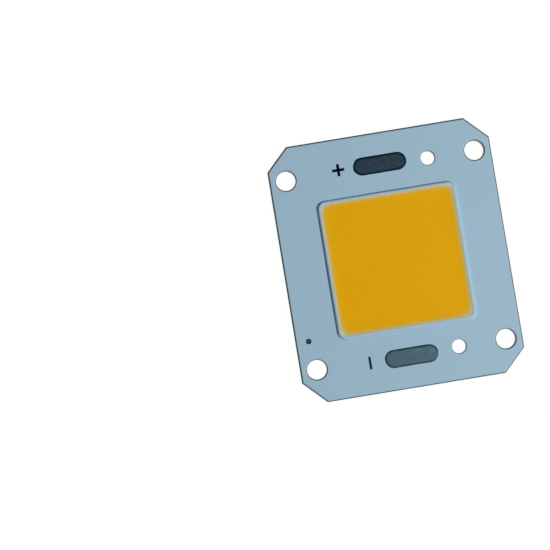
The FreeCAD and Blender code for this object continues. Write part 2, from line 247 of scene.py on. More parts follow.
class Graph:
    """Adds nodes to a node tree and links them."""

    def __init__(self, tree: Tree) -> None:
        """Take a tree and empty it."""
        self.tree = tree
        tree.nodes.clear()

    def add(self, kind: str, inputs: dict[str | int, Any] | None = None, **settings: Any) -> bpy.types.Node:
        """Add a node.

        Args:
            kind: the node's type, without the word that all shader nodes start with.
            inputs: socket name or number to its value, or to the output that feeds it.
            settings: the node's own properties.

        Returns:
            The node.
        """
        node = self.tree.nodes.new(kind if kind.startswith("Node") else f"ShaderNode{kind}")
        for name, value in settings.items():
            setattr(node, name, value)
        for name, value in (inputs or {}).items():
            socket = node.inputs[name]
            if isinstance(value, Socket):
                self.tree.links.new(value, socket)
            elif socket.type == "RGBA":
                socket.default_value = (*value, 1.0)
            else:
                socket.default_value = value
        return node

    def made(self, kind: str, inputs: dict[str | int, Any] | None = None, **settings: Any) -> Socket:
        """First output of a node that is added."""
        return self.add(kind, inputs, **settings).outputs[0]

    def math(self, operation: str, *values: Any) -> Socket:
        """Result of a math node, from numbers or outputs in the order of its inputs."""
        return self.made("Math", dict(enumerate(values)), operation=operation)

    def vector(self, operation: str, *values: Any, **named: Any) -> Socket:
        """Result of a vector math node, from inputs in their order or by name."""
        return self.made("VectorMath", dict(enumerate(values)) | named, operation=operation)

    def ramp(self, value: Any, start: float, end: float, low: float = 0, high: float = 1) -> Socket:
        """Value that goes smoothly from low to high while the given one goes from start to end."""
        inputs = {"Value": value, "From Min": start, "From Max": end, "To Min": low, "To Max": high}
        return self.made("MapRange", inputs, interpolation_type="SMOOTHSTEP")

    def blend(self, share: Any, first: Any, second: Any) -> Socket:
        """Mix of two colours, with so much of the second."""
        return self.add("Mix", {0: share, 6: first, 7: second}, data_type="RGBA").outputs[2]

    def parts(self, vector: Socket) -> Any:
        """The three parts of a vector."""
        return self.add("SeparateXYZ", {0: vector}).outputs

    def noise(self, place: Socket, scale: Any, detail: float = 2.0) -> Socket:
        """Smooth noise about a half, with so many waves per metre and so many finer layers."""
        return self.made("TexNoise", {"Vector": place, "Scale": scale, "Detail": detail})

    def feed(self, node: bpy.types.Node, outputs: dict[str, Socket]) -> None:
        """Link outputs to a node's inputs by name."""
        for name, output in outputs.items():
            self.tree.links.new(output, node.inputs[name])

    def bump(self, height: Socket, distance: float, **more: Any) -> Socket:
        """Normal of a surface that a height raises by up to a distance in millimetres."""
        return self.made("Bump", {"Height": height, "Distance": distance * MM, **more})


class Effect(Enum):
    """Effects that several materials share, each a node group."""

    MOTTLE = "mottle"
    GRAIN = "grain"
    HAIRLINES = "hairlines"
    BOARD_EDGES = "board_edges"


@dataclass(frozen=True)
class Mottle:
    """Unevenness of a colour: waves per metre of a broad and a fine kind, and how much of each."""

    broad: float
    fine: float
    broad_amount: float
    fine_amount: float


@dataclass(frozen=True)
class Grain:
    """Grain of a surface: waves per metre of two sizes, the fine one's share and the bump's strength."""

    coarse: float = 2500.0
    fine: float = 9000.0
    share: float = 0.5
    strength: float = 0.2


@dataclass(frozen=True)
class Hairlines:
    """Brush lines or scratches: waves per metre across and along them, and the bump's strength."""

    across: float
    along: float
    strength: float = 0.3


@dataclass(frozen=True)
class Hole:
    """Round hole: how far its middle lies from the board's, both ways, and its radius."""

    across: float
    along: float
    radius: float


@dataclass(frozen=True)
class BoardPlan:
    """Outline and holes of the board, worked out from the frame."""

    width: float
    length: float
    corner_cut: float = 4.0
    screw: Hole = Hole(17.0, 17.0, 1.75)
    lead: Hole = Hole(8.6, 17.0, 1.25)

    @classmethod
    def from_frame(cls) -> "BoardPlan":
        """Plan with the size of the base plate."""
        low, high = node_box("base_plate")
        return cls(*(high - low)[:2].tolist())


class Group(Graph):
    """Graph of a shared effect, with its inputs at hand."""

    def __init__(
        self, effect: Effect, numbers: tuple[str, ...], outputs: dict[str, str], *colours: str
    ) -> None:
        """Make an empty group with its sockets, of which the place on the piece comes first.

        Args:
            effect: the effect that it makes.
            numbers: names of its plain inputs.
            outputs: output name to its type.
            colours: names of its colour inputs.
        """
        tree = bpy.data.node_groups.new(effect.value, "ShaderNodeTree")
        inputs = {"Place": VECTOR} | dict.fromkeys(colours, COLOUR) | dict.fromkeys(numbers, NUMBER)
        for way, sockets in (("INPUT", inputs), ("OUTPUT", outputs)):
            for label, kind in sockets.items():
                tree.interface.new_socket(label, in_out=way, socket_type=kind)
        super().__init__(tree)
        self.given, self.end = self.add("NodeGroupInput").outputs, self.add("NodeGroupOutput")

    def put_out(self, **results: Socket) -> Tree:
        """Link results to the group's outputs by name, and hand back the finished tree."""
        self.feed(self.end, results)
        return self.tree


class EffectLibrary:
    """The shared effects' node groups, each built once."""

    grain_height = 0.01
    hairline_height = 0.004
    long_line_scale = 0.31
    long_line_share = 0.6

    def __init__(self, plan: BoardPlan) -> None:
        """Build all the effects for a board.

        Args:
            plan: the board's outline and holes.
        """
        self.plan = plan
        makers = (self._mottle, self._grain, self._hairlines, self._board_edges)
        self.trees = {effect: make() for effect, make in zip(Effect, makers)}

    def _mottle(self) -> Tree:
        """Broad and fine unevenness of a colour's brightness.

        The brightness is one plus twice the sum of both noises less a half, each times its amount.

        Returns:
            The group.
        """
        numbers = ("Broad", "Fine", "Broad Amount", "Fine Amount")
        group = Group(Effect.MOTTLE, numbers, {"Colour": COLOUR, "Value": NUMBER}, "Colour")
        waves = []
        for size in ("Broad", "Fine"):
            off = group.math("SUBTRACT", group.noise(group.given["Place"], group.given[size]), 0.5)
            waves.append(group.math("MULTIPLY", off, group.given[f"{size} Amount"]))
        total = group.math("MULTIPLY_ADD", group.math("ADD", *waves), 2.0, 1.0)
        return group.put_out(Colour=group.vector("SCALE", group.given["Colour"], Scale=total), Value=total)

    def _grain(self) -> Tree:
        """Bump of coarse and fine noise, mixed by a share.

        Returns:
            The group.
        """
        numbers = ("Coarse", "Fine", "Share", "Strength")
        group = Group(Effect.GRAIN, numbers, {"Normal": VECTOR, "Value": NUMBER})
        given = group.given
        coarse, fine = (group.noise(given["Place"], given[size]) for size in ("Coarse", "Fine"))
        height = group.math("MULTIPLY_ADD", group.math("SUBTRACT", fine, coarse), given["Share"], coarse)
        normal = group.bump(height, self.grain_height, Strength=given["Strength"])
        return group.put_out(Normal=normal, Value=height)

    def _hairlines(self) -> Tree:
        """Fine lines along X, which start and end at uneven places.

        They are noise with far more waves across than along, plus a share of longer and broader ones.

        Returns:
            The group.
        """
        numbers = ("Across", "Along", "Strength")
        group = Group(Effect.HAIRLINES, numbers, {"Normal": VECTOR, "Value": NUMBER})
        given = group.given
        waves = group.made("CombineXYZ", {0: given["Along"], 1: given["Across"]})
        spread = group.vector("MULTIPLY", given["Place"], waves)
        off = group.math("SUBTRACT", group.noise(spread, self.long_line_scale), 0.5)
        value = group.math("MULTIPLY_ADD", off, self.long_line_share, group.noise(spread, 1.0, 3.0))
        normal = group.bump(value, self.hairline_height, Strength=given["Strength"])
        return group.put_out(Normal=normal, Value=value)

    def _board_edges(self) -> Tree:
        """Distance in metres from the outline, inwards, and from the screw and lead holes, outwards.

        From the outline it is the smallest of those from the sides, from the ends and from the cut corners.
        From a hole it is the root of the sum of two squares, less the radius.

        Returns:
            The group.
        """
        group = Group(Effect.BOARD_EDGES, (), {"Outline": NUMBER, "Screw": NUMBER, "Lead": NUMBER})
        x, y, _ = group.parts(group.given["Place"])
        across, along = group.math("ABSOLUTE", x), group.math("ABSOLUTE", y)
        half_width, half_length = self.plan.width / 2, self.plan.length / 2
        side = group.math("SUBTRACT", half_width * MM, across)
        butt = group.math("SUBTRACT", half_length * MM, along)
        diagonal = (half_width + half_length - self.plan.corner_cut) * MM
        past = group.math("SUBTRACT", diagonal, group.math("ADD", across, along))
        cut = group.math("DIVIDE", past, math.sqrt(2))
        results = {"Outline": group.math("MINIMUM", group.math("MINIMUM", side, butt), cut)}
        for label, hole, way in (("Screw", self.plan.screw, across), ("Lead", self.plan.lead, x)):
            middles = ((way, hole.across * MM), (along, hole.along * MM))
            off = [group.math("SUBTRACT", *pair) for pair in middles]
            squares = group.math("ADD", *(group.math("MULTIPLY", part, part) for part in off))
            results[label] = group.math("SUBTRACT", group.math("SQRT", squares), hole.radius * MM)
        return group.put_out(**results)


class Paint(Graph):
    """Graph of a material, with the shared effects and the place on the piece at hand."""

    def __init__(self, material: Material, effects: EffectLibrary) -> None:
        """Empty a material's graph and read the place on the piece, in metres."""
        super().__init__(material.node_tree)
        self.effects, self.place = effects, self.add("TexCoord").outputs["Object"]

    def effect(
        self, effect: Effect, values: Mottle | Grain | Hairlines | None = None, **inputs: Any
    ) -> Any:
        """Place a shared effect.

        Args:
            effect: which effect.
            values: a record with a field for each of its plain inputs.
            inputs: further inputs by name.

        Returns:
            Its outputs by name.
        """
        fields = asdict(values) if values else {}
        named = {field.replace("_", " ").title(): value for field, value in fields.items()}
        inputs = {"Place": self.place} | named | inputs
        return self.add("Group", inputs, node_tree=self.effects.trees[effect]).outputs

    def inside(self, scale: float, amount: float) -> Socket:
        """Distance from the piece's rim, in millimetres, made a little uneven by noise.

        Args:
            scale: the noise's waves per metre.
            amount: how far the noise moves it.

        Returns:
            The distance's socket.
        """
        inside = self.add("Attribute", attribute_name="inside").outputs["Fac"]
        off = self.math("SUBTRACT", self.noise(self.place, scale), 0.5)
        return self.math("ADD", inside, self.math("MULTIPLY", off, amount))


@dataclass(frozen=True)
class Finish:
    """What every finish has. By itself it is an even tone with a fine grain, as on the inner pieces.

    Its roughness may swing with a pattern. A swing below zero makes the pattern's high places smoother.
    """

    name: str
    colour: Colour
    roughness: float = 0.5
    metallic: float = 0.0
    specular: float = 0.5
    swing: float = 0.0
    mottle: Mottle = Mottle(800.0, 9000.0, 0.1, 0.1)
    grain: Grain = Grain(3000.0, 12000.0, strength=0.15)

    def build(self, effects: EffectLibrary) -> Material:
        """Material with this finish.

        Args:
            effects: the shared effects.

        Returns:
            The material.
        """
        material = bpy.data.materials.new(self.name)
        material.use_nodes = True
        paint = Paint(material, effects)
        shader = paint.add("BsdfPrincipled", self.plain())
        paint.add("OutputMaterial", {"Surface": shader.outputs[0]})
        paint.feed(shader, self.patterns(paint))
        return material

    def plain(self) -> dict[str, Any]:
        """Settings that are the same all over, by the name of the shader's input."""
        names = ("Base Color", "Roughness", "Metallic", "Specular IOR Level")
        return dict(zip(names, (self.colour, self.roughness, self.metallic, self.specular)))

    def patterns(self, paint: Paint) -> dict[str, Socket]:
        """Outputs that feed the shader, by its input's name: a mottled colour and a grained normal."""
        mottle = paint.effect(Effect.MOTTLE, self.mottle, Colour=self.colour)
        return {"Base Color": mottle["Colour"], "Normal": paint.effect(Effect.GRAIN, self.grain)["Normal"]}

    def uneven(self, paint: Paint, value: Socket, start: float, end: float) -> Socket:
        """Roughness from a swing below the finish's own to a swing above it, as a value rises."""
        return paint.ramp(value, start, end, self.roughness - self.swing, self.roughness + self.swing)


@dataclass(frozen=True)
class CoatFinish(Finish):
    """Pale satin coat on the laminate, whose resin shows at the cut edges, with a dark edge band that is
    partly painted shade.
    """

    swing: float = 0.05
    mottle: Mottle = Mottle(90.0, 1800.0, 0.02, 0.012)
    grain: Grain = Grain(700.0, 5000.0, 0.3, 0.12)
    resin: Colour = (0.2, 0.21, 0.2)
    coat_level: Pair = (1.19, 1.21)
    # Colour of the band at the outline and holes: partly the coat thinned over the rolled edge, partly
    # painted shade of that edge.
    edge: Colour = (0.15, 0.18, 0.2)
    edge_width: Pair = (0.13, 0.32)
    screw_offset: float = 0.07
    lead_offset: float = 0.16
    roll_width: float = 0.36
    roll_depth: float = 0.42

    def patterns(self, paint: Paint) -> dict[str, Socket]:
        """Resin below the coat, and a coat that rolls off at its edges and darkens there: partly a thinner
        coat, partly painted shade.

        The roll falls with the square of the way left to the edge, as a share of the roll's width. A hole's
        offset makes the dark band round it narrower than the outline's.

        Args:
            paint: the material's graph.

        Returns:
            Input name to the output that feeds it.
        """
        mottle = paint.effect(Effect.MOTTLE, self.mottle, Colour=self.colour)
        edges = paint.effect(Effect.BOARD_EDGES)
        nearest = edges["Outline"]
        for hole, offset in (("Screw", self.screw_offset), ("Lead", self.lead_offset)):
            nearest = paint.math("MINIMUM", nearest, paint.math("ADD", edges[hole], offset * MM))
        # Painted shade: the band darkens the rolled edge and the hole rims all round, on top of the thinner
        # coat there.
        inward = paint.ramp(nearest, *(width * MM for width in self.edge_width))
        coat_with_thin_shaded_edge = paint.blend(inward, self.edge, mottle["Colour"])
        coated = paint.ramp(paint.parts(paint.place)[2], *(level * MM for level in self.coat_level))
        grain = paint.effect(Effect.GRAIN, self.grain)
        out = paint.math("SUBTRACT", 1.0, paint.math("DIVIDE", nearest, self.roll_width * MM))
        sunk = paint.math("MULTIPLY", paint.math("POWER", paint.math("MAXIMUM", out, 0.0), 2.0), -1.0)
        return {
            "Base Color": paint.blend(coated, self.resin, coat_with_thin_shaded_edge),
            "Roughness": self.uneven(paint, grain["Value"], *NOISE_RANGE),
            "Normal": paint.bump(sunk, self.roll_depth, Normal=grain["Normal"]),
        }


@dataclass(frozen=True)
class PlateFinish(Finish):
    """Brushed aluminium with short light scratches, and punched walls that are torn below and cut above."""

    swing: float = -0.08
    brush: Hairlines = Hairlines(6500.0, 650.0)
    brush_tones: Pair = (0.6, 1.4)
    marks: Hairlines = Hairlines(4200.0, 900.0)
    mark_range: Pair = (0.6, 0.8)
    mark_tone: float = 3.0
    mark_share: float = 0.55
    flat_range: Pair = (0.3, 0.6)
    wall: Colour = (0.26, 0.28, 0.3)
    torn_tone: float = 0.5
    cut_tone: float = 1.5
    cut_from: Pair = (0.32, 0.44)
    streaks: Triple = (5000.0, 5000.0, 700.0)

    def patterns(self, paint: Paint) -> dict[str, Socket]:
        """Brushed and scratched faces, and streaky walls wherever the surface stands upright.

        Args:
            paint: the material's graph.

        Returns:
            Input name to the output that feeds it.
        """
        lines = paint.effect(Effect.HAIRLINES, self.brush)
        darker, lighter = (toned(self.colour, times) for times in self.brush_tones)
        brushed = paint.blend(paint.ramp(lines["Value"], *NOISE_RANGE), darker, lighter)
        marks = paint.ramp(paint.effect(Effect.HAIRLINES, self.marks)["Value"], *self.mark_range)
        worn = paint.math("MULTIPLY", marks, self.mark_share)
        face = paint.blend(worn, brushed, toned(self.colour, self.mark_tone))
        upright = paint.parts(paint.add("TexCoord").outputs["Normal"])[2]
        flat = paint.ramp(paint.math("ABSOLUTE", upright), *self.flat_range)
        streaks = paint.noise(paint.vector("MULTIPLY", paint.place, self.streaks), 1.0)
        torn = paint.blend(streaks, toned(self.wall, self.torn_tone), self.wall)
        cut = paint.blend(streaks, self.wall, toned(self.wall, self.cut_tone))
        risen = paint.ramp(paint.parts(paint.place)[2], *(level * MM for level in self.cut_from))
        return {
            "Base Color": paint.blend(flat, paint.blend(risen, torn, cut), face),
            "Roughness": self.uneven(paint, lines["Value"], *NOISE_RANGE),
            "Normal": lines["Normal"],
        }


@dataclass(frozen=True)
class TinFinish(Finish):
    """Tinned pad, whose dark colour is painted reflection, with a darker rim, fine scratches and specks."""

    swing: float = -0.1
    mottle: Mottle = Mottle(350.0, 4200.0, 0.25, 0.3)
    shine_range: Pair = (0.8, 1.2)
    rim: Colour = (0.002, 0.009, 0.014)
    rim_start: float = 0.14
    rim_width: float = 0.56
    rim_wobble: Pair = (900.0, 0.18)
    scratches: Hairlines = Hairlines(3200.0, 500.0, 0.25)
    scratch_range: Pair = (0.5, 0.75)
    scratch_share: float = 0.3
    scratch_tone: float = 2.2
    scratch_turn: float = 35.0

    def patterns(self, paint: Paint) -> dict[str, Socket]:
        """Mottled tin with scratches at an angle, darker towards the rim.

        Args:
            paint: the material's graph.

        Returns:
            Input name to the output that feeds it.
        """
        mottle = paint.effect(Effect.MOTTLE, self.mottle, Colour=self.colour)
        turn = {"Vector": paint.place, "Angle": math.radians(self.scratch_turn)}
        turned = paint.made("VectorRotate", turn, rotation_type="Z_AXIS")
        lines = paint.effect(Effect.HAIRLINES, self.scratches, Place=turned)
        worn = paint.math("MULTIPLY", paint.ramp(lines["Value"], *self.scratch_range), self.scratch_share)
        face = paint.blend(worn, mottle["Colour"], toned(self.colour, self.scratch_tone))
        inward = paint.ramp(paint.inside(*self.rim_wobble), self.rim_start, self.rim_width)
        return {
            "Base Color": paint.blend(inward, self.rim, face),
            "Roughness": self.uneven(paint, mottle["Value"], *self.shine_range),
            "Normal": lines["Normal"],
        }


@dataclass(frozen=True)
class InkFinish(Finish):
    """Printed ink, a little uneven in cover."""

    mottle: Mottle = Mottle(900.0, 7000.0, 0.2, 0.25)
    grain: Grain = Grain()


@dataclass(frozen=True)
class SpotFinish(Finish):
    """Dark disc with a small brighter spot, a painted glint a little off its middle."""

    mottle: Mottle = Mottle(2000.0, 9000.0, 0.1, 0.2)
    grain: Grain = Grain()
    # Painted highlight: the colour of the glint on the spot.
    touched: Colour = (0.06, 0.13, 0.18)
    centre: Pair = (0.0, 0.0)
    spot_radius: Pair = (0.08, 0.2)

    def patterns(self, paint: Paint) -> dict[str, Socket]:
        """Brighter colour within the spot, which fades out over the outer part of its radius.

        Args:
            paint: the material's graph.

        Returns:
            Input name to the output that feeds it.
        """
        x, y = (part * MM for part in self.centre)
        ends = {0: paint.vector("MULTIPLY", paint.place, (1.0, 1.0, 0.0)), 1: (x, y, 0.0)}
        distance = paint.add("VectorMath", ends, operation="DISTANCE").outputs["Value"]
        share = paint.ramp(distance, *(radius * MM for radius in self.spot_radius))
        mottle = paint.effect(Effect.MOTTLE, self.mottle, Colour=self.touched)
        colour = paint.blend(share, mottle["Colour"], self.colour)
        return {"Base Color": colour, "Normal": paint.effect(Effect.GRAIN, self.grain)["Normal"]}


@dataclass(frozen=True)
class SiliconeFinish(Finish):
    """Cured silicone bead, through which light spreads a little way."""

    mottle: Mottle = Mottle(400.0, 3000.0, 0.02, 0.015)
    grain: Grain = Grain(500.0, 4000.0, 0.2, 0.15)
    spread: float = 0.25
    spread_depth: float = 0.35

    def plain(self) -> dict[str, Any]:
        """Settings of every finish, and how far light spreads inside."""
        names = ("Subsurface Weight", "Subsurface Radius", "Subsurface Scale")
        return super().plain() | dict(zip(names, (self.spread, (1.0, 1.0, 1.0), self.spread_depth * MM)))


@dataclass(frozen=True)
class PhosphorFinish(Finish):
    """Amber phosphor in silicone, which thins to a pale film at its rim and is faintly shaded by the dies."""

    mottle: Mottle = Mottle(150.0, 4200.0, 0.022, 0.06)
    grain: Grain = Grain(1500.0, 7000.0, 0.6, 0.25)
    pale: Colour = (0.42, 0.5, 0.5)
    film_width: float = 0.33
    film_growth: float = 1.4
    film_rates: Triple = (0.47, 0.7, 1.0)
    film_wobble: Pair = (700.0, 0.1)
    die_pitch: Pair = (1.83, 2.17)
    die_shade: float = 0.004

    def patterns(self, paint: Paint) -> dict[str, Socket]:
        """Amber over a pale ground, which shows through where the film is thin.

        The film's depth grows with a power of the distance from the rim. What is left of the ground falls
        with the exponential of the depth, at a rate of its own for red, green and blue. A sum of two cosines
        at the dies' pitch shades the amber.

        Args:
            paint: the material's graph.

        Returns:
            Input name to the output that feeds it.
        """
        patterns = super().patterns(paint)
        waves = [
            paint.math("COSINE", paint.math("MULTIPLY", way, 2 * math.pi / (pitch * MM)))
            for way, pitch in zip(paint.parts(paint.place), self.die_pitch)
        ]
        shade = paint.math("MULTIPLY_ADD", paint.math("ADD", *waves), self.die_shade, 1.0)
        shaded = paint.vector("SCALE", patterns["Base Color"], Scale=shade)
        distance = paint.math("MAXIMUM", paint.inside(*self.film_wobble), 0.0)
        depth = paint.math("POWER", paint.math("DIVIDE", distance, self.film_width), self.film_growth)
        left = [paint.math("EXPONENT", paint.math("MULTIPLY", depth, -rate)) for rate in self.film_rates]
        mix = {1: paint.made("CombineXYZ", dict(enumerate(left))), 4: shaded, 5: self.pale}
        colour = paint.add("Mix", mix, data_type="VECTOR", factor_mode="NON_UNIFORM").outputs[1]
        return patterns | {"Base Color": colour}


# Pieces


def dress(material: Material, *names: str) -> None:
    """Give nodes of the frame a material.

    Args:
        material: the material.
        names: the nodes' names.
    """
    for name in names:
        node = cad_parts[name]
        if not node.material_slots:
            node.data.materials.append(material)
        node.material_slots[0].material = material
        LOG.info("%s: %s", name, material.name)


@dataclass
class Board:
    """Plate, laminate and copper, which keep the frame's own shapes."""

    effects: EffectLibrary
    coat: Finish = CoatFinish("satin_coat", linear(149, 179, 197), roughness=0.5, specular=0.3)
    plate: Finish = PlateFinish("brushed_aluminium", linear(74, 96, 112), roughness=0.42, metallic=1.0)
    copper: Finish = Finish("bare_copper", (0.72, 0.36, 0.2), roughness=0.35, metallic=1.0)

    def build(self) -> None:
        """Dress the three layers."""
        dress(self.plate.build(self.effects), "base_plate")
        dress(self.coat.build(self.effects), "circuit_laminate")
        dress(self.copper.build(self.effects), "positive_track", "negative_track")


@dataclass
class SolderPads:
    """The two tinned pads: long, with round ends, a slope round the top and a darker rim."""

    effects: EffectLibrary
    slope_rise: float = 0.05
    slope_run: float = 0.3
    cells: tuple[int, int] = (120, 48)
    sway: float = 0.015
    lobes: tuple[tuple[float, int], ...] = ((1.0, 5), (0.6, 11), (0.4, 23))
    later_starts: Pair = (1.0, 0.0)
    # Painted reflection: both pads are the same tin, coloured dark as if reflecting dark surroundings, the
    # positive one painted darker than the negative.
    positive: Finish = TinFinish("tin_painted_dark_reflection", linear(39, 53, 64), 0.4, 1.0, scratch_share=0.4)
    negative: Finish = TinFinish(
        "tin_painted_light_reflection", linear(60, 80, 90), 0.45, 1.0, rim=(0.012, 0.028, 0.038), rim_width=0.45,
        scratch_turn=-30.0,
    )

    def build(self) -> None:
        """Make both pads."""
        for name, finish in (("positive_pad", self.positive), ("negative_pad", self.negative)):
            self._make(name, finish.build(self.effects))

    def _make(self, node: str, material: Material) -> None:
        """Make the pad that stands for a node.

        Its top is flat in the middle and falls off towards the rim with the square of the way left to the
        slope's inner end. A sum of sines of the angle about its middle makes its outline uneven. The first
        sine starts at the pad's own place, so that the two pads differ.

        Args:
            node: the node's name.
            material: the pad's material.
        """
        low, high = node_box(node)
        half, centre = (high - low) / 2, (high + low) / 2
        x, y, inside = RoundPatch(tuple(half[:2]), half[1], self.cells, self.slope_run).places()
        angle = np.arctan2(y * half[0] / half[1], x)
        starts = (low[1], *self.later_starts)
        waves = sum(size * np.sin(count * angle + start) for (size, count), start in zip(self.lobes, starts))
        grow = 1 + self.sway * (1 + waves / 2) / half[1]
        out = 1 - np.clip(inside / self.slope_run, 0, 1)
        top = sheet(x * grow, y * grow, high[2] - self.slope_rise * out**2, centre)
        bottom = sheet(x * grow, y * grow, low[2], centre)
        points, faces = closed_slab(top, [], bottom)
        make_piece(f"{node}_tin", points, faces, material, node, np.tile(inside.ravel(), 2))


@dataclass(frozen=True)
class BeadSection:
    """Section of the dam's bead. A share runs across it, from -1 at the inner foot to 1 at the outer one."""

    height: float
    outer: float = 0.43
    inner: float = 0.55
    squareness: float = 2.8
    steepness: float = 0.72

    def level(self, share: Array) -> Array:
        """Height above the coat: the full height times one less a power of the share, to a power."""
        return self.height * (1 - np.abs(share) ** self.squareness).clip(0) ** self.steepness

    def reach(self, share: Array) -> Array:
        """Distance outwards from the bead's crest."""
        return np.where(share < 0, self.inner, self.outer) * share


@dataclass(frozen=True)
class DamPlan:
    """Where the dam lies: its middle, its feet and the line its crest follows."""

    middle: Array
    half: float
    foot: float
    height: float
    corner: float = 1.1
    width: float = 1.1

    @classmethod
    def from_frame(cls) -> "DamPlan":
        """Plan of the frame's own dam."""
        low, high = node_box("silicone_dam")
        return cls((low + high)[:2] / 2, (high[0] - low[0] - cls.width) / 2, low[2], high[2] - low[2])


@dataclass
class Dam:
    """Silicone bead laid round the dies in one pass, with the small unevenness of a dispensed bead."""

    effects: EffectLibrary
    steps_along: int = 90
    steps_across: int = 34
    sway: float = 0.02
    swell: float = 0.02
    dip: float = 0.02
    wave_turns: tuple[int, int] = (2, 26)
    seed: int = 7
    finish: Finish = SiliconeFinish("clear_silicone", linear(156, 183, 201), roughness=0.5, specular=0.12)

    def build(self) -> None:
        """Make the bead.

        A point of the path is a point of the square's core plus the corner radius outwards. Each ring of
        points goes round the path at one place across the section. Slow waves move, narrow and lower the bead
        a little.
        """
        plan = DamPlan.from_frame()
        section = BeadSection(plan.height)
        core, outward, run = self._path(plan)
        swell, sway, dip = self._waves(run)[..., None]
        share = np.sin(np.linspace(-np.pi / 2, np.pi / 2, self.steps_across))
        reach = section.reach(share) * (1 - self.swell * (1 - swell) / 2)
        reach = plan.corner + self.sway * sway + reach
        rise = section.level(share) * (1 - self.dip * (1 - dip) / 2)
        flat = core[:, None, :] + outward[:, None, :] * reach[..., None] + plan.middle
        points = np.concatenate([flat, (plan.foot + rise)[..., None]], axis=-1)
        faces = grid_faces(*points.shape[:2], wrap_rows=True, wrap_columns=True)
        material = self.finish.build(self.effects)
        make_piece("dam_bead", points.reshape(-1, 3), faces, material, "silicone_dam")

    def _path(self, plan: DamPlan) -> tuple[Array, Array, Array]:
        """Closed path round a square with round corners, counter-clockwise.

        Args:
            plan: the dam's plan.

        Returns:
            Points of the square's core, the outward direction at each, and the share of the way round.
        """
        arm = plan.half - plan.corner
        rim = np.linspace(-plan.half, plan.half, self.steps_along, endpoint=False)
        full = np.full_like(rim, plan.half)
        x = np.concatenate([rim, full, -rim, -full])
        y = np.concatenate([-full, rim, full, -rim])
        core = np.stack([np.clip(x, -arm, arm), np.clip(y, -arm, arm)], axis=1)
        away = np.stack([x, y], axis=1) - core
        return core, away / np.linalg.norm(away, axis=1, keepdims=True), np.arange(len(x)) / len(x)

    def _waves(self, run: Array) -> Array:
        """Three slow uneven waves round the bead, as sums of sines of whole turns.

        Args:
            run: share of the way round at each point.

        Returns:
            Three rows of values between -1 and 1.
        """
        random = np.random.default_rng(self.seed)
        turns = np.arange(*self.wave_turns)
        size = random.normal(size=(3, len(turns))) / turns
        start = random.uniform(0, 2 * np.pi, size=(3, len(turns)))
        angles = 2 * np.pi * turns[None, :, None] * run[None, None, :] + start[..., None]
        waves = (size[..., None] * np.sin(angles)).sum(axis=1)
        return waves / np.abs(waves).max(axis=1, keepdims=True)


@dataclass
class Phosphor:
    """Phosphor poured inside the dam, which it wets up to the crest as a thinning film."""

    effects: EffectLibrary
    rim_inside_crest: float = 0.03
    rim_width: float = 1.3
    climb: float = 0.15
    climb_width: float = 0.9
    film: float = 0.004
    film_shift: Pair = (-0.065, 0.06)
    film_softness: float = 0.7
    blend: float = 24.0
    well_half: float = 10.79
    under: float = 0.004
    ripple: float = 0.004
    ripple_rates: Pair = (0.9, 0.8)
    bend_rates: Pair = (0.5, 0.4)
    bend_sizes: Pair = (1.0, 1.3)
    bend_start: float = 1.0
    cells: tuple[int, int] = (180, 180)
    finish: Finish = PhosphorFinish("amber_phosphor", (0.73, 0.364, 0.0034), roughness=0.7, specular=0.04)

    def build(self) -> None:
        """Make the phosphor.

        Its top is level in the middle, but for a ripple, and rises towards the rim as a falling exponential
        of the distance from it. Over the dam's inner flank it follows the bead with a thin film: the two
        heights are joined by the root of the sum of their powers. Below the dam it steps in to the well,
        whose middle is the board's.
        """
        plan = DamPlan.from_frame()
        section = BeadSection(plan.height)
        half = plan.half - self.rim_inside_crest
        patch = RoundPatch((half, half), plan.corner - self.rim_inside_crest, self.cells, self.rim_width)
        x, y, inside = patch.places()
        ripples = self._ripples(x, y)
        fill = node_box("phosphor_layer")[1][2] - plan.foot - self.ripple
        pool = fill + self.ripple * ripples + self.climb * np.exp(-inside / self.climb_width)
        flank = section.level(-(inside + self.rim_inside_crest) / section.inner) + self.film
        surface = plan.foot + (pool**self.blend + flank**self.blend) ** (1 / self.blend)
        shoulder = plan.foot + self.under
        floor = node_box("base_plate")[1][2] + self.under
        well_x, well_y = (way * self.well_half / half for way in (x, y))
        rim = rim_of_grid(*x.shape)
        ledge = [sheet(x, y, shoulder, plan.middle), sheet(well_x, well_y, shoulder)]
        rings = [level.reshape(-1, 3)[rim] for level in ledge]
        top = sheet(x, y, surface, plan.middle)
        points, faces = closed_slab(top, rings, sheet(well_x, well_y, floor))
        depth = np.zeros(len(points))
        depth[: x.size] = self._film_distance(x, y, half).ravel()
        material = self.finish.build(self.effects)
        make_piece("phosphor_pour", points, faces, material, "phosphor_layer", depth)

    def _ripples(self, x: Array, y: Array) -> Array:
        """Faint waves of the top, between -1 and 1.

        They are the product of a sine across and one along, each bent by a slow sine of the other way.

        Args:
            x: places across.
            y: places along.

        Returns:
            The waves' heights.
        """
        bend_x, bend_y = (rate * way for rate, way in zip(self.bend_rates, (x, y)))
        across = self.ripple_rates[0] * x + self.bend_sizes[1] * np.sin(bend_y)
        along = self.ripple_rates[1] * y + self.bend_sizes[0] * np.sin(bend_x + self.bend_start)
        return np.sin(across) * np.sin(along)

    def _film_distance(self, x: Array, y: Array, half: float) -> Array:
        """Soft minimum of the distances inwards from the film's nearer sides, across and along."""
        # It is the logarithm of the sum of their falling exponentials. The film lies a little off the middle.
        across, along = (half - np.abs(way - off) for way, off in zip((x, y), self.film_shift))
        return -self.film_softness * np.logaddexp(-across / self.film_softness, -along / self.film_softness)


@dataclass
class Chips:
    """Dies and wires under the phosphor, which keep the frame's own shapes."""

    effects: EffectLibrary
    die: Finish = Finish("sapphire_die", (0.5, 0.6, 0.85), roughness=0.15)
    gold: Finish = Finish("gold_wire", (0.95, 0.72, 0.3), roughness=0.25, metallic=1.0)

    def build(self) -> None:
        """Dress the strings."""
        for finish, start in ((self.die, "die_string"), (self.gold, "wire_string")):
            names = (name for name in sorted(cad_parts) if name.startswith(start))
            dress(finish.build(self.effects), *names)


